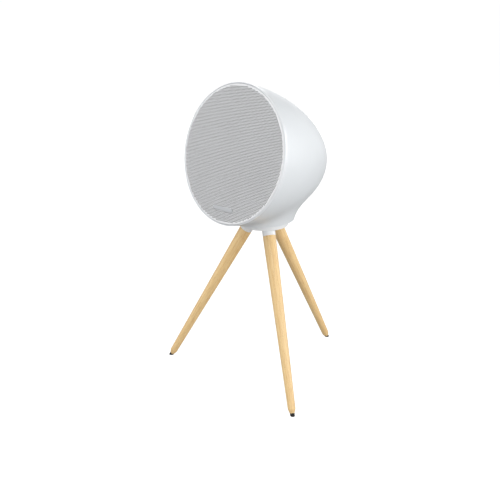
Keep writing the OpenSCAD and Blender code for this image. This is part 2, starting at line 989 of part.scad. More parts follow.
module leg(turn) {
    start = foot_h;
    chamfer_end = start + leg_chamfer;
    color("burlywood")
        at_leg(turn)
        difference() {
            rotate_extrude()
                polygon([
                    [0, start], [foot_d / 2, start], [leg_tip_d / 2, chamfer_end],
                    [leg_top_d / 2, leg_end], [0, leg_end]
                ]);
            translate([0, 0, leg_end - stud_in_leg - 1]) cylinder(r = stud_r + fit, h = stud_in_leg + 2);
            translate([0, 0, start - 1]) cylinder(r = 1.6, h = 9);
        }
}

module leg_left() { leg(LEG_TURNS[0]); }
module leg_right() { leg(LEG_TURNS[1]); }
module leg_rear() { leg(LEG_TURNS[2]); }

// A rubber tip, cut flat by the floor, with a stem that plugs into the leg
module foot(turn) {
    color("#202020")
        difference() {
            at_leg(turn)
                union() {
                    translate([0, 0, -foot_d]) cylinder(d = foot_d - 0.2, h = foot_h + foot_d);
                    cylinder(r = 1.5, h = foot_h + 7);
                }
            translate([0, 0, -2 * foot_d]) cylinder(r = 2 * foot_circle_r, h = 2 * foot_d);
        }
}

module foot_left() { foot(LEG_TURNS[0]); }
module foot_right() { foot(LEG_TURNS[1]); }
module foot_rear() { foot(LEG_TURNS[2]); }

// ---- Assembly --------------------------------------------------------------------------------

cabinet_shell();
front_ring();
grille();
badge();
baffle();
baffle_screws();
woofer_basket();
woofer_surround();
woofer_cone();
woofer_dust_cap();
woofer_voice_coil();
woofer_spider();
woofer_top_plate();
woofer_magnet();
woofer_yoke();
woofer_screws();
tweeter_faceplate();
tweeter_dome();
tweeter_motor();
tweeter_screws();
microphone_boards();
rear_frame();
rear_panel();
rear_screws();
io_board();
tact_switches();
button_power();
button_pairing();
button_volume_down();
button_volume_up();
status_light();
power_inlet();
audio_socket();
usb_socket();
neck_ring();
base_plate();
base_screws();
threaded_insert();
swivel_washer();
board_tray();
tray_screws();
main_board();
board_standoffs();
heatsink();
capacitors();
inductors();
wireless_module();
hub();
stop_pin();
centre_bolt();
leg_studs();
leg_left();
leg_right();
leg_rear();
foot_left();
foot_right();
foot_rear();
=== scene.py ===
import json
from math import asin, atan2, ceil, cos, inf, pi, radians, sin, sqrt, tan

import bmesh
import bpy
import numpy as np
from mathutils import Matrix, Vector
from mathutils.geometry import tessellate_polygon


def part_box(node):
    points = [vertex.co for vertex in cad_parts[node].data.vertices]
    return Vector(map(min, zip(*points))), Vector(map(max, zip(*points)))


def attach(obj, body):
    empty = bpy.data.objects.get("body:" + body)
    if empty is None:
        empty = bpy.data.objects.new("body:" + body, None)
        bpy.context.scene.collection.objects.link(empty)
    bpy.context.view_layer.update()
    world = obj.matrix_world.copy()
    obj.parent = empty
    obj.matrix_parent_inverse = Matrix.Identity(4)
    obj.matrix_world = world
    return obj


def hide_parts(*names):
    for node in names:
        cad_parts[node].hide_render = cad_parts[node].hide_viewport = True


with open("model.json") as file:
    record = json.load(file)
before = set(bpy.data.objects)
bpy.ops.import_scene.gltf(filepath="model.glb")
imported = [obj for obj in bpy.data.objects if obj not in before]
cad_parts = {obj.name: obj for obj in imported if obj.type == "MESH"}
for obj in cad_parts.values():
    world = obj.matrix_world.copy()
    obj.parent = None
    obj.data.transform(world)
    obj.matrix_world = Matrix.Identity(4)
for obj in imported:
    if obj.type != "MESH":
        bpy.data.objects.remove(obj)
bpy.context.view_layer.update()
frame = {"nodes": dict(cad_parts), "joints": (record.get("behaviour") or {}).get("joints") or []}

# Geometry is worked out in millimetres and written to the meshes in metres.
MM = 0.001

# ---- Frames of reference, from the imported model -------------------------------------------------

# OUT is the driver axis, square to the grille. UP and SIDE lie in the grille's own plane.
JOINT = {j["name"]: j for j in frame["joints"]}
OUT = np.array(JOINT["woofer_excursion"]["axis"])
UP = np.array([0, OUT[2], -OUT[1]])
SIDE = np.array([1.0, 0, 0])
TILT = asin(OUT[2])


def box_mm(node):
    """A node's lowest and highest corners at rest, in millimetres."""
    lo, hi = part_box(node)
    return np.array(lo) / MM, np.array(hi) / MM


# Distances along OUT from the rim plane, which the grille's face stands proud of.
GRILLE_FRONT = 1.2
GRILLE_BACK = -3.2
RIM_CENTRE = sum(box_mm("grille")) / 2 - OUT * (GRILLE_FRONT + GRILLE_BACK) / 2
RIM_R = box_mm("front_ring")[1][0]
GRILLE_R = box_mm("grille")[1][0]
HUB_TOP = box_mm("hub")[1][2]
BASE_Z = box_mm("cabinet_shell")[0][2]


def on_face(p):
    """Points given as right, up and out of the grille, in row-frame millimetres."""
    p = np.atleast_2d(p)
    return RIM_CENTRE + p[:, :1] * SIDE + p[:, 1:2] * UP + p[:, 2:] * OUT


# ---- Mesh tools ---------------------------------------------------------------------------------


def piece(name, points, faces, body, material, replaces=(), smooth=35):
    """A mesh object from points in millimetres, riding on a body. Edges over smooth degrees stay sharp."""
    mesh = bpy.data.meshes.new(name)
    mesh.from_pydata((np.asarray(points) * MM).tolist(), [], [list(map(int, f)) for f in faces])
    mesh.validate()
    obj = bpy.data.objects.new(name, mesh)
    bpy.context.scene.collection.objects.link(obj)
    mesh.shade_smooth()
    mesh.set_sharp_from_angle(angle=radians(smooth))
    mesh.materials.append(material)
    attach(obj, body)
    if replaces:
        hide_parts(*replaces)
    return obj


def face_outwards(obj):
    """Makes a closed mesh's faces all look outwards."""
    bm = bmesh.new()
    bm.from_mesh(obj.data)
    bmesh.ops.recalc_face_normals(bm, faces=bm.faces)
    bm.to_mesh(obj.data)
    bm.free()


def strips(rows, count):
    """Quads between successive rows of count points each."""
    faces = []
    for k in range(rows - 1):
        a, b = k * count, (k + 1) * count
        for i in range(count):
            j = (i + 1) % count
            faces.append((a + i, a + j, b + j, b + i))
    return faces


def rounded(corners, steps):
    """An outline through (r, z, fillet) corners, with each corner's fillet drawn as an arc of steps."""
    out = []
    n = len(corners)
    for i, (r, z, fillet) in enumerate(corners):
        p = np.array([r, z], float)
        if fillet == 0:
            out.append(p)
            continue
        a = np.array(corners[i - 1][:2], float) - p
        b = np.array(corners[(i + 1) % n][:2], float) - p
        a, b = a / np.linalg.norm(a), b / np.linalg.norm(b)
        half = np.arccos(np.clip(a @ b, -1, 1)) / 2
        centre = p + (a + b) / np.linalg.norm(a + b) * fillet / sin(half)
        start, end = p + a * fillet / tan(half), p + b * fillet / tan(half)
        first = atan2(*(start - centre)[::-1])
        turn = (atan2(*(end - centre)[::-1]) - first + pi) % (2 * pi) - pi
        for k in range(steps + 1):
            t = first + turn * k / steps
            out.append(centre + fillet * np.array([cos(t), sin(t)]))
    return out


def lathe(profile, count):
    """A closed outline of (r, z) points turned round Z. Points on the axis become one point each."""
    points, rows = [], []
    for r, z in profile:
        if r < 1e-6:
            rows.append([len(points)] * count)
            points.append((0, 0, z))
        else:
            rows.append(list(range(len(points), len(points) + count)))
            points += [(r * cos(2 * pi * i / count), r * sin(2 * pi * i / count), z) for i in range(count)]
    faces = []
    for a, b in zip(rows, rows[1:] + rows[:1]):
        for i in range(count):
            j = (i + 1) % count
            corners = list(dict.fromkeys((a[i], a[j], b[j], b[i])))
            if len(corners) > 2:
                faces.append(corners)
    return np.array(points), faces


def zip_loops(a, b, angle):
    """Triangles between two loops of point numbers, both sorted by their points' angle."""
    faces = []
    i = j = 0
    na, nb = len(a), len(b)
    while i < na or j < nb:
        next_a = angle[a[(i + 1) % na]] + 2 * pi * (i + 1 >= na) if i < na else inf
        next_b = angle[b[(j + 1) % nb]] + 2 * pi * (j + 1 >= nb) if j < nb else inf
        if next_a <= next_b:
            faces.append((a[i % na], a[(i + 1) % na], b[j % nb]))
            i += 1
        else:
            faces.append((a[i % na], b[(j + 1) % nb], b[j % nb]))
            j += 1
    return faces


def slope(field, p, step):
    """A field's gradient at points p, by central differences."""
    return np.stack([field(p + e) - field(p - e) for e in np.eye(3) * step], -1) / (2 * step)


# ---- Materials ----------------------------------------------------------------------------------


def srgb(r, g, b):
    """A linear colour from 8-bit screen values."""
    screen = [c / 255 for c in (r, g, b)]
    return tuple(c / 12.92 if c <= 0.04045 else ((c + 0.055) / 1.055) ** 2.4 for c in screen) + (1,)


def shade(colour, share):
    """A linear colour made darker or lighter by share."""
    return tuple(min(c * share, 1) for c in colour[:3]) + (1,)


class Shader:
    """A material with one Principled node, and short calls for the nodes that drive it.

    Every scale is in cells per metre of the object, and a depth is in millimetres."""

    def __init__(self, name, rough=0.5, along=None, **sockets):
        self.material = bpy.data.materials.new(name)
        self.material.use_nodes = True
        self.tree = self.material.node_tree
        self.main = self.tree.nodes["Principled BSDF"]
        self.main.inputs["Roughness"].default_value = rough
        for socket, value in sockets.items():
            self.main.inputs[socket.replace("_", " ")].default_value = value
        self.place = self.add("ShaderNodeTexCoord").outputs["Object"]
        if along is not None:
            self.place = self.turned(along.inverted())

    def add(self, kind, **values):
        """A new node with the given properties."""
        node = self.tree.nodes.new(kind)
        for key, value in values.items():
            setattr(node, key, value)
        return node

    def link(self, source, socket):
        """Joins an output to an input."""
        self.tree.links.new(source, socket)

    def turned(self, matrix):
        """The object's own coordinates, seen from another frame."""
        node = self.add("ShaderNodeMapping")
        node.inputs["Rotation"].default_value = matrix.to_euler()
        node.inputs["Location"].default_value = matrix.translation
        self.link(self.place, node.inputs["Vector"])
        return node.outputs["Vector"]

    def scaled(self, scale, offset=(0, 0, 0)):
        """The object's own coordinates counted in cells. scale is one number or one for each axis."""
        node = self.add("ShaderNodeMapping")
        node.inputs["Scale"].default_value = scale if hasattr(scale, "__len__") else (scale,) * 3
        node.inputs["Location"].default_value = offset
        self.link(self.place, node.inputs["Vector"])
        return node.outputs["Vector"]

    def noise(self, scale, detail=3, rough=0.5, distort=0, offset=(0, 0, 0)):
        """Soft random clouds, from 0 to 1."""
        node = self.add("ShaderNodeTexNoise")
        node.inputs["Scale"].default_value = 1
        node.inputs["Detail"].default_value = detail
        node.inputs["Roughness"].default_value = rough
        node.inputs["Distortion"].default_value = distort
        self.link(self.scaled(scale, offset), node.inputs["Vector"])
        return node.outputs["Fac"]

    def cells(self, scale, offset=(0, 0, 0)):
        """Distance to the nearest of many scattered points, in cells."""
        node = self.add("ShaderNodeTexVoronoi")
        node.inputs["Scale"].default_value = 1
        self.link(self.scaled(scale, offset), node.inputs["Vector"])
        return node.outputs["Distance"]

    def ramp(self, source, stops):
        """Colours or grey levels at given places along source."""
        node = self.add("ShaderNodeValToRGB")
        elements = node.color_ramp.elements
        for k, (place, value) in enumerate(stops):
            element = elements[k] if k < 2 else elements.new(place)
            element.position = place
            element.color = value if hasattr(value, "__len__") else (value, value, value, 1)
        self.link(source, node.inputs["Fac"])
        return node.outputs["Color"]

    def feed(self, socket, value):
        """Sets a socket to a constant, or links another node's output to it."""
        if isinstance(value, bpy.types.NodeSocket):
            self.link(value, socket)
        else:
            socket.default_value = value

    def mix(self, a, b, share):
        """Colour a turned towards colour b by share."""
        node = self.add("ShaderNodeMix", data_type="RGBA")
        # A Mix node has one socket of each name for every data type.
        for name, kind, value in (("A", "RGBA", a), ("B", "RGBA", b), ("Factor", "VALUE", share)):
            self.feed([i for i in node.inputs if i.name == name and i.type == kind][0], value)
        return [o for o in node.outputs if o.type == "RGBA"][0]

    def maths(self, operation, a, b):
        """One sum, product or comparison of two values."""
        node = self.add("ShaderNodeMath", operation=operation)
        self.feed(node.inputs[0], a)
        self.feed(node.inputs[1], b)
        return node.outputs[0]

    def colour(self, source):
        """Paints the surface with source."""
        self.link(source, self.main.inputs["Base Color"])

    def roughness(self, source, low, high):
        """Roughness that follows source from low to high."""
        node = self.add("ShaderNodeMapRange")
        node.inputs["To Min"].default_value = low
        node.inputs["To Max"].default_value = high
        self.link(source, node.inputs["Value"])
        self.link(node.outputs["Result"], self.main.inputs["Roughness"])

    def bump(self, *layers):
        """Raises the surface by each (height source, depth) layer."""
        normal = None
        for source, depth in layers:
            node = self.add("ShaderNodeBump")
            node.inputs["Distance"].default_value = depth * MM
            self.link(source, node.inputs["Height"])
            if normal:
                self.link(normal, node.inputs["Normal"])
            normal = node.outputs["Normal"]
        self.link(normal, self.main.inputs["Normal"])


def moulded(name, tone, rough, grain=0.6, depth=0.02, spread=0.02, **sockets):
    """Plastic or paint: an almost even colour, fine texture and faint changes of gloss.

    grain and depth are the texture's size and height in millimetres. spread is how far the tone strays."""
    s = Shader(name, rough, **sockets)
    base = srgb(*tone)
    blotches, gloss, ripple = s.noise(18, 2), s.noise(90), s.noise(60, 2)
    s.colour(s.ramp(blotches, [(0.3, shade(base, 1 - spread)), (0.7, shade(base, 1 + spread))]))
    s.roughness(gloss, rough - 0.05, rough + 0.05)
    s.bump((s.noise(1 / (grain * MM), 2), depth), (ripple, depth * 2))
    return s.material


def metal(name, tone, rough, brushed=(1, 1, 1), spread=0.12, depth=0.01):
    """Bare metal with fine brushing. brushed stretches it along the axes with the smallest numbers."""
    s = Shader(name, rough, Metallic=1.0)
    base = srgb(*tone)
    brush = s.noise(tuple(900 * k for k in brushed), rough=0.6)
    s.colour(s.ramp(brush, [(0.25, shade(base, 1 - spread)), (0.75, base)]))
    s.roughness(brush, rough - 0.08, rough + 0.1)
    s.bump((brush, depth))
    return s.material


def woven(name, tone, light, thread=0.45, depth=0.12):
    """Plain-weave cloth from two crossing waves. thread is the weave's pitch in millimetres."""
    s = Shader(name, 0.9, Sheen_Weight=0.3)
    waves_per_cell = 20 / (2 * pi)
    waves = []
    for axis in ("X", "Z"):
        node = s.add("ShaderNodeTexWave", wave_type="BANDS", bands_direction=axis)
        node.inputs["Scale"].default_value = 1
        node.inputs["Distortion"].default_value = 0.4
        node.inputs["Detail"].default_value = 1
        s.link(s.scaled(1 / (waves_per_cell * thread * MM)), node.inputs["Vector"])
        waves.append(node.outputs["Fac"])
    weave = s.maths("MULTIPLY", waves[0], waves[1])
    s.colour(s.ramp(weave, [(0.1, srgb(*tone)), (0.7, srgb(*light))]))
    s.bump((weave, depth), (s.noise(2500, 2), 0.03))
    return s.material


def beech(name, shift, along):
    """Steamed beech: long soft grain, faint growth bands and short dark ray flecks, along a leg's axis.

    shift moves the pattern, so that no two legs match."""
    s = Shader(name, 0.42, along, Coat_Weight=0.12, Coat_Roughness=0.3)
    offset = (shift, 2 * shift, 3 * shift)
    bands = s.add("ShaderNodeTexWave", wave_type="RINGS", rings_direction="Z")
    bands.inputs["Scale"].default_value = 1
    bands.inputs["Distortion"].default_value = 5
    bands.inputs["Detail"].default_value = 2
    bands.inputs["Detail Scale"].default_value = 0.8
    ring_centre = (14 + 3 * shift, 9 - 2 * shift, 0)
    s.link(s.scaled((85, 85, 5), ring_centre), bands.inputs["Vector"])
    grain = s.noise((900, 900, 42), 4, 0.6, 0.3, offset)
    broad = s.noise((120, 120, 9), 3, 0.5, 0.6, offset)
    tone = s.ramp(bands.outputs["Fac"], [(0.0, srgb(243, 202, 138)), (1.0, srgb(253, 220, 164))])
    tone = s.mix(tone, s.ramp(broad, [(0.3, srgb(236, 192, 126)), (0.7, srgb(255, 226, 172))]), 0.5)
    tone = s.mix(tone, s.ramp(grain, [(0.32, srgb(214, 164, 98)), (0.55, srgb(255, 222, 164))]), 0.45)
    flecks = s.cells((1500, 1500, 230), offset=offset)
    sparse = s.noise((320, 320, 60), 2, 0.5, 0, offset)
    marks = s.maths("MULTIPLY", s.maths("LESS_THAN", flecks, 0.22), s.maths("GREATER_THAN", sparse, 0.5))
    tone = s.mix(tone, srgb(168, 118, 72), s.maths("MULTIPLY", marks, 0.45))
    s.colour(tone)
    s.roughness(grain, 0.36, 0.52)
    s.bump((grain, 0.05), (marks, -0.04))
    return s.material


def circuit_board():
    """Green solder mask over a grid of tracks, with bright pads."""
    s = Shader("circuit_board", 0.35, Coat_Weight=0.4, Coat_Roughness=0.15)
    tracks = s.add("ShaderNodeTexBrick")
    tracks.inputs["Scale"].default_value = 1
    tracks.inputs["Mortar Size"].default_value = 0.08
    tracks.inputs["Color1"].default_value = srgb(24, 92, 58)
    tracks.inputs["Color2"].default_value = srgb(20, 82, 52)
    tracks.inputs["Mortar"].default_value = srgb(46, 124, 78)
    s.link(s.scaled(420), tracks.inputs["Vector"])
    pads = s.maths("LESS_THAN", s.cells(340), 0.16)
    s.colour(s.mix(tracks.outputs["Color"], srgb(205, 198, 170), pads))
    s.bump((tracks.outputs["Fac"], -0.03), (pads, 0.05))
    return s.material


MATERIALS = {
    "white_shell": moulded("white_shell", (233, 237, 240), 0.42, grain=0.5, depth=0.006, spread=0.008),
    # The lip's white is lighter than the shell's: a painted highlight for its rounded edge. Its coat gives
    # real gloss.
    "white_lip_painted_highlight": moulded(
        "white_lip_painted_highlight", (240, 243, 246), 0.3, grain=0.5, depth=0.004, spread=0.006, Coat_Weight=0.6
    ),
    # The hub's white is lighter than the shell's: painted light that lifts the shade falling under the head.
    "white_hub": moulded(
        "white_hub", (246, 248, 250), 0.4, grain=0.5, depth=0.008, spread=0.01, Coat_Weight=0.3
    ),
    "grille_metal": moulded("grille_metal", (245, 246, 248), 0.45, grain=0.25, depth=0.01, spread=0.02),
    "badge_metal": metal("badge_metal", (196, 198, 201), 0.5, brushed=(0.05, 2, 2), spread=0.05),
    "black_plastic": moulded("black_plastic", (34, 35, 37), 0.5, grain=0.4, depth=0.03, spread=0.15),
    "rear_plastic": moulded("rear_plastic", (226, 229, 231), 0.5, grain=0.3, depth=0.03, spread=0.02),
    "button_plastic": moulded("button_plastic", (236, 238, 239), 0.38, grain=0.4, depth=0.01, spread=0.02),
    "dark_steel": metal("dark_steel", (70, 72, 76), 0.42),
    "steel": metal("steel", (190, 192, 195), 0.28),
    "brass": metal("brass", (214, 176, 98), 0.3),
    "black_rubber": moulded("black_rubber", (28, 28, 29), 0.78, grain=0.35, depth=0.05, spread=0.2),
    "cone_fibre": moulded("cone_fibre", (78, 80, 84), 0.75, grain=0.8, depth=0.12, spread=0.25),
    "spider_cloth": woven("spider_cloth", (150, 112, 58), (196, 158, 96)),
    "copper_coil": metal("copper_coil", (196, 112, 66), 0.35, brushed=(0.2, 0.2, 5)),
    "ferrite": moulded("ferrite", (52, 51, 52), 0.7, grain=0.3, depth=0.04, spread=0.25),
    "dome_metal": metal("dome_metal", (196, 198, 202), 0.22),
    "circuit_board": circuit_board(),
    "light_pipe": moulded("light_pipe", (205, 222, 236), 0.2, spread=0.03, Transmission_Weight=0.6),
    "tray_metal": metal("tray_metal", (172, 175, 179), 0.38, brushed=(0.1, 3, 3)),
    "black_anodised": metal("black_anodised", (44, 45, 48), 0.45, brushed=(0.1, 3, 3)),
    "capacitor_sleeve": moulded("capacitor_sleeve", (36, 44, 78), 0.35, spread=0.1),
    "grille_cloth": woven("grille_cloth", (16, 16, 18), (44, 45, 48)),
}


# ---- Cabinet ------------------------------------------------------------------------------------

# The egg: its depth from the rim plane, its fullness along and across, and its wall.
HEAD_DEPTH = 186
DEPTH_POWER = 1.86
WIDTH_POWER = 1.66
WALL = 3
# The neck: its radius at the base, its centre in front of the swivel axis, its flare and its soft blend.
NECK_R = 50
NECK_Y = 6.5
NECK_FLARE = 0.3
NECK_BLEND = 12
# The shell's front edge behind the rim plane, the round opening at the tail and that opening's chamfer.
SHELL_FRONT = 4
PORT_R = 38
PORT_EDGE = 0.4
# The mesh: sections from front to base, points round each, and a length that no ray inside exceeds.
SECTIONS = 111
SECTION_POINTS = 160
RAY_REACH = 173.4


def cabinet_field(p, inset):
    """Below zero inside the cabinet: an egg about the driver axis, blended into a flared neck."""
    q = p - RIM_CENTRE
    depth = np.maximum(-(q @ OUT), 0) / (HEAD_DEPTH - inset)
    across = np.hypot(q[..., 0], q @ UP) / (RIM_R - inset)
    egg = RIM_R * ((across**WIDTH_POWER + depth**DEPTH_POWER) ** (1 / WIDTH_POWER) - 1)
    above = p[..., 2] - BASE_Z
    neck = np.hypot(p[..., 0], p[..., 1] + NECK_Y) - (NECK_R - inset) - NECK_FLARE * np.maximum(above, 0)
    neck = np.maximum(neck, above - NECK_R - 2 * NECK_BLEND)
    h = np.clip(0.5 + (neck - egg) / (2 * NECK_BLEND), 0, 1)
    return neck + (egg - neck) * h - NECK_BLEND * h * (1 - h)


def cast(start, way, inset):
    """Points where rays from inside the cabinet meet its surface, by halving."""
    lo, hi = np.zeros(len(way)), np.full(len(way), RAY_REACH)
    for _ in range(30):
        mid = (lo + hi) / 2
        inside = cabinet_field(start + way * mid[:, None], inset) < 0
        lo, hi = np.where(inside, mid, lo), np.where(inside, hi, mid)
    return start + way * ((lo + hi) / 2)[:, None]


def cabinet_normals(p, inset):
    """The true surface's normals at points p."""
    g = slope(lambda q: cabinet_field(q, inset), p, 0.01)
    return g / np.linalg.norm(g, axis=-1, keepdims=True)


def fan_section(t, inset, count):
    """One closed section at turn t, from 0 at the shell's front plane to 1 at its base plane.

    All sections turn about the line where those two planes meet."""
    front = RIM_CENTRE - OUT * SHELL_FRONT
    rho_front = (front[2] - BASE_Z) / cos(TILT)
    pivot = np.array([0, front[1] - rho_front * sin(TILT), BASE_Z])
    rho = rho_front + t * (-NECK_Y - pivot[1] - rho_front)
    turn = TILT + t * (pi / 2 - TILT)
    up = np.array([0, sin(turn), cos(turn)])
    a = 2 * pi * np.arange(count) / count
    way = np.sin(a)[:, None] * SIDE + np.cos(a)[:, None] * up
    return cast(pivot + up * rho, way, inset)


def tail_polar(p):
    """Distance from the driver axis, angle round it and depth behind the rim plane."""
    q = p - RIM_CENTRE
    return np.hypot(q @ SIDE, q @ UP), np.arctan2(q @ UP, q @ SIDE), -(q @ OUT)


def skin(inset, turns, count, opening):
    """A fan of sections with a round opening at the tail: points, faces, the opening's rim and all angles."""
    p = np.concatenate([fan_section(t, inset, count) for t in turns])
    r, angle, depth = tail_polar(p)
    cut = (r < opening) & (depth > HEAD_DEPTH / 2)
    faces = np.array(strips(len(turns), count))
    gone = cut[faces].any(1)
    kept = faces[~gone]
    rim = np.intersect1d(np.unique(faces[gone]), np.unique(kept))
    rim = rim[np.argsort(angle[rim])]
    start = RIM_CENTRE + opening * (np.cos(angle[rim])[:, None] * SIDE + np.sin(angle[rim])[:, None] * UP)
    p[rim] = cast(start - OUT * HEAD_DEPTH / 2, np.tile(-OUT, (len(rim), 1)), inset)
    return p, kept, rim, angle


def cabinet():
    """The shell as one closed mesh: two skins joined at the front, the base and the tail's opening."""
    count = SECTION_POINTS
    turns = np.linspace(0, 1, SECTIONS)
    outer, outer_faces, outer_rim, outer_angle = skin(0, turns, count, PORT_R + PORT_EDGE)
    inner, inner_faces, inner_rim, inner_angle = skin(WALL, turns, count, PORT_R)
    n = len(outer)
    q = outer[outer_rim] - RIM_CENTRE
    inwards = -(q - np.outer(q @ OUT, OUT)) / (PORT_R + PORT_EDGE)
    lip = outer[outer_rim] + (OUT + inwards) * PORT_EDGE
    lip_ids = list(range(2 * n, 2 * n + len(lip)))
    angle = np.concatenate([outer_angle, inner_angle, outer_angle[outer_rim]])
    points = np.concatenate([outer, inner, lip])
    faces = [tuple(f) for f in outer_faces] + [tuple(f[::-1] + n) for f in inner_faces]
    last = n - count
    for i in range(count):
        j = (i + 1) % count
        faces.append((i, i + n, j + n, j))
        faces.append((last + i, last + j, last + j + n, last + i + n))
    for i in range(len(lip)):
        j = (i + 1) % len(lip)
        faces.append((outer_rim[i], outer_rim[j], lip_ids[j], lip_ids[i]))
    faces += zip_loops(lip_ids, list(inner_rim + n), angle)
    obj = piece("cabinet", points, faces, "head", MATERIALS["white_shell"], ["cabinet_shell"])
    set_exact_normals(obj, n)
    return obj


def set_exact_normals(obj, n):
    """Gives both skins the true surface's normals, and leaves the cut edges flat."""
    mesh = obj.data
    co = np.empty(len(mesh.vertices) * 3, np.float32)
    mesh.vertices.foreach_get("co", co)
    co = co.reshape(-1, 3).astype(float) / MM
    outer, inner, edge = co[:n], co[n : 2 * n], co[2 * n :]
    normals = np.concatenate([
        cabinet_normals(outer, 0), -cabinet_normals(inner, WALL), np.tile(-OUT, (len(edge), 1)),
    ])
    corner = np.zeros((len(mesh.loops), 3))
    for face in mesh.polygons:
        flat = np.array(face.normal)
        ids = [mesh.loops[k].vertex_index for k in face.loop_indices]
        one_skin = all(i < n for i in ids) or all(n <= i < 2 * n for i in ids)
        for k, i in zip(face.loop_indices, ids):
            corner[k] = normals[i] if one_skin else flat
    mesh.normals_split_custom_set(corner.tolist())


cabinet()

# The front ring, in millimetres along OUT from the rim plane and round the driver axis.
SEAT_GAP = 0.5
SPIGOT_R = RIM_R - WALL - 2
BAFFLE_R = SPIGOT_R - 3.5
LEDGE_R = BAFFLE_R - 8.5
LEDGE_FRONT = -16
LEDGE_BACK = -20
RIM_STEPS = 288


def front_lip():
    """The rim round the grille, its white lighter than the shell's as a painted highlight: a rounded lip, a
    seat for the grille and a ledge for the baffle.
    """
    seat_r = GRILLE_R + SEAT_GAP
    top = face_top("front_ring")
    outline = rounded([
        (SPIGOT_R, -SHELL_FRONT, 0), (RIM_R, -SHELL_FRONT, 0.25), (RIM_R, top, 1.2), (seat_r, top, 0.6),
        (seat_r, GRILLE_BACK, 0.3), (BAFFLE_R, GRILLE_BACK, 0.3), (BAFFLE_R, LEDGE_FRONT, 0),
        (LEDGE_R, LEDGE_FRONT, 0.3), (LEDGE_R, LEDGE_BACK, 0.3), (SPIGOT_R, LEDGE_BACK, 0.3),
    ], 6)
    points, faces = lathe(outline, RIM_STEPS)
    piece("front_lip", on_face(points), faces, "head", MATERIALS["white_lip_painted_highlight"], ["front_ring"])


def face_top(node):
    """How far a node reaches out of the rim plane, in millimetres."""
    o = frame["nodes"][node]
    co = np.empty(len(o.data.vertices) * 3, np.float32)
    o.data.vertices.foreach_get("co", co)
    return float(((co.reshape(-1, 3) / MM - RIM_CENTRE) @ OUT).max())


front_lip()


# ---- Grille -------------------------------------------------------------------------------------

# The perforation: a hexagonal pattern turned by a few degrees, within a plain margin.
PITCH = 2.4
HOLE_R = 0.94
HOLE_SIDES = 8
PATTERN_TURN = 4
SHEET_T = 0.45
ROLLED_EDGE = 1.2
PLAIN_MARGIN = 1.45
PERFORATED_R = GRILLE_R - ROLLED_EDGE - PLAIN_MARGIN
CLOTH_T = 0.4
CLOTH_GAP = 0.1


def hexagon_cells():
    """Centres of the hexagons that lie inside the perforated radius."""
    reach = ceil(1.7 * GRILLE_R / PITCH)  # enough rows and slanting columns to cover the disc
    i, j = np.meshgrid(np.arange(-reach, reach + 1), np.arange(-reach, reach + 1))
    c = np.stack([(i + j / 2).ravel(), (j * sqrt(3) / 2).ravel()], 1) * PITCH
    return c[np.hypot(c[:, 0], c[:, 1]) < PERFORATED_R]


def boundary_loop(cells):
    """The outline of the field of hexagons, in order: the edges that only one hexagon has."""
    edges = {}
    for ring in cells.tolist():
        for a, b in zip(ring, ring[1:] + ring[:1]):
            if (b, a) in edges:
                del edges[(b, a)]
            else:
                edges[(a, b)] = True
    step = {a: b for a, b in edges}
    loop = [next(iter(step))]
    while step[loop[-1]] != loop[0]:
        loop.append(step[loop[-1]])
    return loop


def perforated_field():
    """A flat field of hexagons, each with a hole: points, triangles, the holes' corners and the outline."""
    centres = hexagon_cells()
    cells = len(centres)
    corner_r = PITCH / sqrt(3)
    corner_a = radians(30) + np.arange(6) * pi / 3
    hole_a = radians(30) + np.arange(HOLE_SIDES) * 2 * pi / HOLE_SIDES
    corners = centres[:, None] + corner_r * np.stack([np.cos(corner_a), np.sin(corner_a)], 1)
    holes = centres[:, None] + HOLE_R * np.stack([np.cos(hole_a), np.sin(hole_a)], 1)
    same = 0.01  # corners that round to one place on this grid are one point
    keys = np.round(corners.reshape(-1, 2) / same).astype(int)
    _, first, number = np.unique(keys, axis=0, return_index=True, return_inverse=True)
    shared = corners.reshape(-1, 2)[first]
    number = number.reshape(cells, 6)
    flat = np.concatenate([shared, holes.reshape(-1, 2)])
    hole_number = len(shared) + np.arange(cells * HOLE_SIDES).reshape(cells, HOLE_SIDES)
    unit = np.concatenate([corner_a, hole_a])
    web = zip_loops(list(range(6)), list(range(6, 6 + HOLE_SIDES)), unit)
    ids = np.concatenate([number, hole_number], 1)
    front = ids[:, np.array(web)].reshape(-1, 3)
    return flat, front, hole_number, boundary_loop(ids[:, :6])


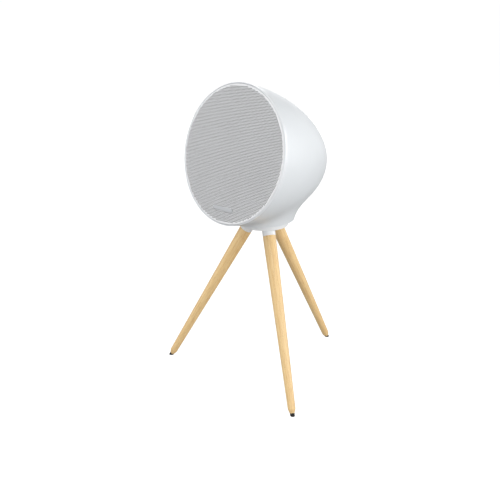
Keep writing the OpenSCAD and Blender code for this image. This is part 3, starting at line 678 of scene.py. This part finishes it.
def grille():
    """The perforated sheet with its rolled edge and short skirt, as one closed mesh."""
    flat, front, holes, outline = perforated_field()
    n = len(flat)
    turn = radians(PATTERN_TURN)
    flat = flat @ np.array([[cos(turn), sin(turn)], [-sin(turn), cos(turn)]])
    flat_r, skirt_r, sheet_back = GRILLE_R - ROLLED_EDGE, GRILLE_R - SHEET_T, GRILLE_FRONT - SHEET_T
    edge = rounded([
        (flat_r, GRILLE_FRONT, 0), (GRILLE_R, GRILLE_FRONT, ROLLED_EDGE - 0.1), (GRILLE_R, GRILLE_BACK, 0.2),
        (skirt_r, GRILLE_BACK, 0.15), (skirt_r, sheet_back, 0.3), (flat_r, sheet_back, 0),
    ], 4)
    count = RIM_STEPS
    a = 2 * pi * np.arange(count) / count
    rows = [np.stack([r * np.cos(a), r * np.sin(a), np.full(count, z)], 1) for r, z in edge]
    points = np.concatenate([
        np.column_stack([flat, np.full(n, GRILLE_FRONT)]),
        np.column_stack([flat, np.full(n, sheet_back)]),
        *rows,
    ])
    faces = [tuple(f) for f in front] + [tuple(f[::-1] + n) for f in front]
    for ring in holes.tolist():
        for i, j in zip(ring, ring[1:] + ring[:1]):
            faces.append((i, j, j + n, i + n))
    first, last = 2 * n, 2 * n + (len(rows) - 1) * count
    faces += [tuple(k + first for k in f) for f in strips(len(rows), count)]
    for ring_start, shift in ((first, 0), (last, n)):
        circle = list(range(ring_start, ring_start + count))
        inside = [i + shift for i in outline]
        loops = [[Vector(points[i]) for i in circle], [Vector(points[i]) for i in inside]]
        ids = circle + inside
        faces += [tuple(ids[k] for k in f) for f in tessellate_polygon(loops)]
    obj = piece(
        "grille_sheet", on_face(points), faces, "head", MATERIALS["grille_metal"], ["grille"],
        smooth=40,
    )
    face_outwards(obj)


def grille_cloth():
    """Acoustic cloth stretched just behind the sheet, cut as a disc."""
    front = GRILLE_FRONT - SHEET_T - CLOTH_GAP
    back = front - CLOTH_T
    cloth_r = GRILLE_R - ROLLED_EDGE
    outline = rounded([(0, back, 0), (cloth_r, back, 0.1), (cloth_r, front, 0.1), (0, front, 0)], 3)
    points, faces = lathe(outline, RIM_STEPS // 2)
    cloth = piece("grille_cloth", on_face(points), faces, "head", MATERIALS["grille_cloth"])


grille()
grille_cloth()


def stadium(w, h, inset, steps=16):
    """A bar's outline with round ends, w wide and h high, drawn in by inset."""
    r = h / 2 - inset
    points = []
    for side in (1, -1):
        for k in range(steps + 1):
            a = -pi / 2 + pi * k / steps
            points.append((side * ((w - h) / 2 + r * cos(a)), side * r * sin(a)))
    return points


# The badge's height, its thickness and how far it lies below the grille's centre.
BADGE_H = 6
BADGE_T = 0.8
BADGE_DROP = 0.79 * GRILLE_R


def badge():
    """A blank bar with softened edges, low on the grille."""
    lo, hi = box_mm("badge")
    w = hi[0] - lo[0]
    rows = [(0.0, 0.0), (0.0, BADGE_T - 0.35), (0.1, BADGE_T - 0.1), (0.35, BADGE_T), (0.9, BADGE_T)]
    rings = [stadium(w, BADGE_H, inset) for inset, _ in rows]
    count = len(rings[0])
    points = [(x, y - BADGE_DROP, GRILLE_FRONT + z) for ring, (_, z) in zip(rings, rows) for x, y in ring]
    faces = strips(len(rows), count)
    faces += [list(range(count))[::-1], [(len(rows) - 1) * count + i for i in range(count)]]
    metal_finish = MATERIALS["badge_metal"]
    obj = piece("badge_bar", on_face(points), faces, "head", metal_finish, ["badge"])
    face_outwards(obj)


badge()


# ---- Stand --------------------------------------------------------------------------------------

# The legs: their turns about Z, their lean, where their axes cross the hub's top, and their ends.
LEG_TURNS = {"leg_left": -150, "leg_right": -30, "leg_rear": 90}
LEG_SPLAY = 29.3
LEG_PITCH_R = 17.2
LEG_TOP_R = 9.8
LEG_TIP_R = 5.6
LEG_CHAMFER = 6
FOOT_R = 3.5
FOOT_H = 3.5
SHAFT_STEPS = 8
LEG_SIDES = 72
# The hub: its disc, its collars below the disc's top, and the recess and bore for the centre bolt.
HUB_R = 37
HUB_T = 10
COLLAR_DROP = 20.5
RECESS_R = 7
RECESS_H = 4.2
BORE_R = 3.2
# The circle on the floor that the legs' axes reach, and each leg's length from there to its collar.
FOOT_CIRCLE_R = LEG_PITCH_R + HUB_TOP * tan(radians(LEG_SPLAY))
LEG_END = (HUB_TOP - COLLAR_DROP) / cos(radians(LEG_SPLAY))


def leg_matrix(turn):
    """A leg's frame in metres: its origin on the floor, and Z up along the leg's axis."""
    return (
        Matrix.Rotation(radians(turn), 4, "Z")
        @ Matrix.Translation((FOOT_CIRCLE_R * MM, 0, 0))
        @ Matrix.Rotation(radians(-LEG_SPLAY), 4, "Y")
    )


def leg(node, turn, shift):
    """A turned leg with a softly chamfered tip and a small round edge where it meets the collar."""
    start = FOOT_H
    bend = start + LEG_CHAMFER
    shaft = [
        (LEG_TIP_R + (LEG_TOP_R - LEG_TIP_R) * k / SHAFT_STEPS, bend + (LEG_END - bend) * k / SHAFT_STEPS, 0)
        for k in range(1, SHAFT_STEPS)
    ]
    tip = [(0, start, 0), (FOOT_R, start, 0.3), (LEG_TIP_R, bend, 1.5)]
    top = [(LEG_TOP_R, LEG_END, 0.5), (0, LEG_END, 0)]
    outline = rounded(tip + shaft + top, 4)
    points, faces = lathe(outline, LEG_SIDES)
    m = leg_matrix(turn)
    points = points @ np.array(m.to_3x3()).T + np.array(m.translation) / MM
    piece(f"{node}_wood", points, faces, "stand", beech(f"beech_{node}", shift, m), [node])


for index, (node, turn) in enumerate(LEG_TURNS.items()):
    leg(node, turn, 0.7 + 1.3 * index)


def smooth_min(a, b, k):
    """The lower of two fields, with a fillet of about k where they meet."""
    h = np.clip(0.5 + (b - a) / (2 * k), 0, 1)
    return b + (a - b) * h - k * h * (1 - h)


def round_bar(p, start, way, r, length, edge):
    """The field of a cylinder along way, with its two end edges rounded."""
    q = p - start
    along = q @ way
    across = np.linalg.norm(q - along[..., None] * way, axis=-1)
    d = np.stack([across - r + edge, np.abs(along - length / 2) - length / 2 + edge], -1)
    return np.minimum(d.max(-1), 0) + np.linalg.norm(np.maximum(d, 0), axis=-1) - edge


def hub_field(p):
    """Below zero inside the hub: a flat disc with three collars, blended by a small fillet."""
    z = np.array([0, 0, 1.0])
    field = round_bar(p, np.array([0, 0, HUB_TOP - HUB_T]), z, HUB_R, HUB_T, 1.5)
    for turn in LEG_TURNS.values():
        m = np.array(leg_matrix(turn))
        way = m[:3, 2]
        collar = round_bar(p, m[:3, 3] / MM + way * LEG_END, way, LEG_TOP_R, COLLAR_DROP + 6, 0.7)
        collar = np.maximum(collar, p[..., 2] - HUB_TOP + 1)  # stays inside the disc
        field = smooth_min(field, collar, 1.6)
    below = 30  # both holes start well below the hub
    start = np.array([0, 0, HUB_TOP - HUB_T - below])
    recess = round_bar(p, start, z, RECESS_R, below + RECESS_H, 0.2)
    bore = round_bar(p, start, z, BORE_R, 2 * below, 0.2)
    return np.maximum(np.maximum(field, -recess), -bore)


def surface_net(field, lo, hi, step):
    """A quad mesh of the surface where field is zero, with its points moved onto that surface.

    Each grid cell that the surface crosses gets one point, and each crossed grid edge gets one quad."""
    axes = [np.arange(a, b + step, step) for a, b in zip(lo, hi)]
    grid = np.stack(np.meshgrid(*axes, indexing="ij"), -1)
    value = field(grid)
    inside = value < 0
    size = np.array(value.shape) - 1
    total = np.zeros((*size, 3))
    hits = np.zeros(size)
    corners = [(i, j, k) for i in (0, 1) for j in (0, 1) for k in (0, 1)]
    for a in corners:
        for axis in range(3):
            if a[axis]:
                continue
            b = tuple(c + (k == axis) for k, c in enumerate(a))
            cut = [tuple(slice(c, c + s) for c, s in zip(e, size)) for e in (a, b)]
            va, vb = value[cut[0]], value[cut[1]]
            crossed = inside[cut[0]] != inside[cut[1]]
            t = np.where(crossed, va / np.where(crossed, va - vb, 1), 0)
            place = np.array(a, float) + t[..., None] * np.eye(3)[axis]
            total += np.where(crossed[..., None], place, 0)
            hits += crossed
    used = hits > 0
    number = np.full(size, -1)
    number[used] = np.arange(used.sum())
    where = np.argwhere(used)
    points = np.array([a[0] for a in axes]) + (where + total[used] / hits[used][:, None]) * step
    faces = []
    for axis in range(3):
        u, v = (axis + 1) % 3, (axis + 2) % 3
        a = inside[tuple(slice(0, -1) if k == axis else slice(1, -1) for k in range(3))]
        b = inside[tuple(slice(1, None) if k == axis else slice(1, -1) for k in range(3))]
        for flip in (False, True):
            at = np.argwhere((a != b) & (a == flip))
            at = at + np.array([0 if k == axis else 1 for k in range(3)])
            du, dv = np.eye(3, dtype=int)[u], np.eye(3, dtype=int)[v]
            quad = [at, at - du, at - du - dv, at - dv]
            ids = np.stack([number[tuple(q.T)] for q in quad], 1)
            faces.append(ids if flip else ids[:, ::-1])
    for _ in range(3):
        g = slope(field, points, 0.02)
        points -= g * (field(points) / np.maximum((g * g).sum(-1), 0.2))[:, None]
    return points, np.concatenate(faces)


def hub():
    """The stand's hub, meshed from its field on a grid that reaches a little past its box."""
    lo, hi = box_mm("hub")
    margin, step = 1.3, 0.55
    points, faces = surface_net(hub_field, lo - margin, hi + margin, step)
    # The hub's paint is lighter than the shell's, as painted light against the shade under the head.
    paint = MATERIALS["white_hub"]
    obj = piece("hub_casting", points, faces, "stand", paint, ["hub"], smooth=50)
    face_outwards(obj)


hub()


# ---- CAD nodes that keep their shape ------------------------------------------------------------

# The material of each node that keeps its CAD shape.
FINISH = {
    "rear_plastic": ["rear_frame", "rear_panel", "base_plate", "neck_ring"],
    "button_plastic": ["button_power", "button_pairing", "button_volume_down", "button_volume_up"],
    "black_plastic": [
        "baffle", "tweeter_faceplate", "power_inlet", "audio_socket", "tact_switches", "swivel_washer",
    ],
    "dark_steel": ["woofer_basket", "centre_bolt", "baffle_screws", "woofer_screws", "tweeter_screws"],
    "steel": [
        "woofer_top_plate", "woofer_yoke", "rear_screws", "base_screws", "tray_screws", "stop_pin",
        "leg_studs", "usb_socket", "wireless_module",
    ],
    "brass": ["threaded_insert", "board_standoffs"],
    "black_rubber": ["woofer_surround", "foot_left", "foot_right", "foot_rear"],
    "cone_fibre": ["woofer_cone", "woofer_dust_cap"],
    "spider_cloth": ["woofer_spider"],
    "copper_coil": ["woofer_voice_coil", "inductors"],
    "ferrite": ["woofer_magnet", "tweeter_motor"],
    "dome_metal": ["tweeter_dome"],
    "circuit_board": ["io_board", "main_board", "microphone_boards"],
    "light_pipe": ["status_light"],
    "tray_metal": ["board_tray"],
    "black_anodised": ["heatsink"],
    "capacitor_sleeve": ["capacitors"],
}


def smooth_by_angle(limit=35):
    """A node group that shades faces smooth and keeps edges over the limit sharp."""
    group = bpy.data.node_groups.new("smooth_by_angle", "GeometryNodeTree")
    group.interface.new_socket("Geometry", in_out="INPUT", socket_type="NodeSocketGeometry")
    group.interface.new_socket("Geometry", in_out="OUTPUT", socket_type="NodeSocketGeometry")
    start = group.nodes.new("NodeGroupInput")
    end = group.nodes.new("NodeGroupOutput")
    angle = group.nodes.new("GeometryNodeInputMeshEdgeAngle")
    over = group.nodes.new("FunctionNodeCompare")
    over.operation = "GREATER_THAN"
    over.inputs["B"].default_value = radians(limit)
    faces = group.nodes.new("GeometryNodeSetShadeSmooth")
    edges = group.nodes.new("GeometryNodeSetShadeSmooth")
    edges.domain = "EDGE"
    edges.inputs["Shade Smooth"].default_value = False
    link = group.links.new
    link(angle.outputs["Unsigned Angle"], over.inputs["A"])
    link(start.outputs[0], faces.inputs["Geometry"])
    link(faces.outputs[0], edges.inputs["Geometry"])
    link(over.outputs[0], edges.inputs["Selection"])
    link(edges.outputs[0], end.inputs[0])
    return group


SMOOTHER = smooth_by_angle()
# Widths of the softened edges, in millimetres.
BEVEL = {
    "rear_frame": 0.4, "rear_panel": 0.35, "base_plate": 0.5, "neck_ring": 0.4, "baffle": 0.5,
    "woofer_basket": 0.4, "button_power": 0.4, "button_pairing": 0.4, "button_volume_down": 0.4,
    "button_volume_up": 0.4, "foot_left": 0.4, "foot_right": 0.4, "foot_rear": 0.4, "woofer_magnet": 0.8,
    "woofer_top_plate": 0.4, "woofer_yoke": 0.4, "tweeter_faceplate": 0.3, "capacitors": 0.6,
    "inductors": 0.8, "heatsink": 0.2, "board_tray": 0.2, "centre_bolt": 0.3, "swivel_washer": 0.2,
}
DEFAULT_BEVEL = 0.12


def finish_cad_node(node, slot):
    """Gives a kept CAD node its material, soft edges and smooth shading, and leaves its shape alone."""
    o = frame["nodes"][node]
    normals = o.data.attributes.get("custom_normal")
    if normals:
        o.data.attributes.remove(normals)
    weld = o.modifiers.new("weld", "WELD")
    weld.merge_threshold = 1e-6
    bevel = o.modifiers.new("bevel", "BEVEL")
    bevel.width = BEVEL.get(node, DEFAULT_BEVEL) * MM
    bevel.segments = 2
    bevel.limit_method = "ANGLE"
    bevel.angle_limit = radians(40)
    bevel.use_clamp_overlap = True
    o.modifiers.new("smooth", "NODES").node_group = SMOOTHER
    o.data.materials.clear()
    o.data.materials.append(MATERIALS[slot])


for slot, nodes in FINISH.items():
    for node in nodes:
        finish_cad_node(node, slot)


# ---- Floor, light and camera --------------------------------------------------------------------


# Half the floor's side in metres, the share of light that it gives back and its glow to the camera.
FLOOR_REACH = 40
FLOOR_TONE = 0.34
FLOOR_GLOW = 0.9


def floor():
    """A pale floor. The camera sees it evenly bright; the object gets only part of its light back."""
    mesh = bpy.data.meshes.new("floor")
    signs = [(-1, -1), (1, -1), (1, 1), (-1, 1)]
    mesh.from_pydata([(x * FLOOR_REACH, y * FLOOR_REACH, 0) for x, y in signs], [], [(0, 1, 2, 3)])
    obj = bpy.data.objects.new("floor", mesh)
    bpy.context.scene.collection.objects.link(obj)
    s = Shader("pale_floor", 0.9, Base_Color=(FLOOR_TONE,) * 3 + (1,), Emission_Color=(1, 1, 1, 1))
    seen = s.add("ShaderNodeLightPath").outputs["Is Camera Ray"]
    s.link(s.maths("MULTIPLY", seen, FLOOR_GLOW), s.main.inputs["Emission Strength"])
    mesh.materials.append(s.material)


# The lamps' distance from their target and their side, in metres.
LAMP_DISTANCE = 2.2
LAMP_SIZE = 1.5
LAMP_TARGET = Vector((0, 0, 0.25))


def lamp(name, azimuth, elevation, power):
    """A soft square lamp that looks at the middle of the object. Azimuth 0 is in front, and 90 is at +X."""
    data = bpy.data.lights.new(name, "AREA")
    data.size = LAMP_SIZE
    data.energy = power
    obj = bpy.data.objects.new(name, data)
    bpy.context.scene.collection.objects.link(obj)
    a, e = radians(azimuth), radians(elevation)
    way = Vector((sin(a) * cos(e), -cos(a) * cos(e), sin(e)))
    obj.location = LAMP_TARGET + way * LAMP_DISTANCE
    obj.rotation_euler = way.to_track_quat("Z", "Y").to_euler()
    obj.visible_camera = False


def sky(strength):
    """A white backdrop all round, which lights the object less than it shows."""
    world = bpy.data.worlds.new("studio")
    world.use_nodes = True
    tree = world.node_tree
    background = tree.nodes["Background"]
    background.inputs["Color"].default_value = (1, 1, 1, 1)
    seen = tree.nodes.new("ShaderNodeLightPath").outputs["Is Camera Ray"]
    level = tree.nodes.new("ShaderNodeMapRange")
    level.inputs["To Min"].default_value = strength
    level.inputs["To Max"].default_value = 1
    tree.links.new(seen, level.inputs["Value"])
    tree.links.new(level.outputs["Result"], background.inputs["Strength"])
    bpy.context.scene.world = world


SKY_LIGHT = 0.3
# Each lamp's name, azimuth, elevation and watts.
LAMPS = [
    ("right_front", 45, 8, 13.5),
    ("right", 90, 8, 13.5),
    ("right_rear", 135, 10, 18),
    ("rear", 180, 8, 6.5),
    ("left_rear", 225, 8, 13),
    ("left_front", 315, 8, 8.5),
    ("high_left", 315, 40, 15),
    ("high_right", 45, 40, 7),
]
floor()
sky(SKY_LIGHT)
for name, azimuth, elevation, watts in LAMPS:
    lamp(name, azimuth, elevation, watts)

# The photograph's viewpoint: its place in metres, how far it looks down and its turn about Z in degrees.
CAMERA_PLACE = (0.82826, -0.84594, 0.61943)
CAMERA_DOWN = 19.53
CAMERA_TURN = 45.44
CAMERA_LENS = 58.69


def camera():
    """The camera that fits the photograph's view of the legs, the feet and the grille."""
    data = bpy.data.cameras.new("camera")
    data.sensor_width = 36
    data.lens = CAMERA_LENS
    data.clip_start, data.clip_end = 0.05, 100
    obj = bpy.data.objects.new("camera", data)
    bpy.context.scene.collection.objects.link(obj)
    obj.location = CAMERA_PLACE
    obj.rotation_euler = (radians(90 - CAMERA_DOWN), 0, radians(CAMERA_TURN))
    bpy.context.scene.camera = obj


camera()
bpy.context.scene.view_settings.view_transform = "Standard"
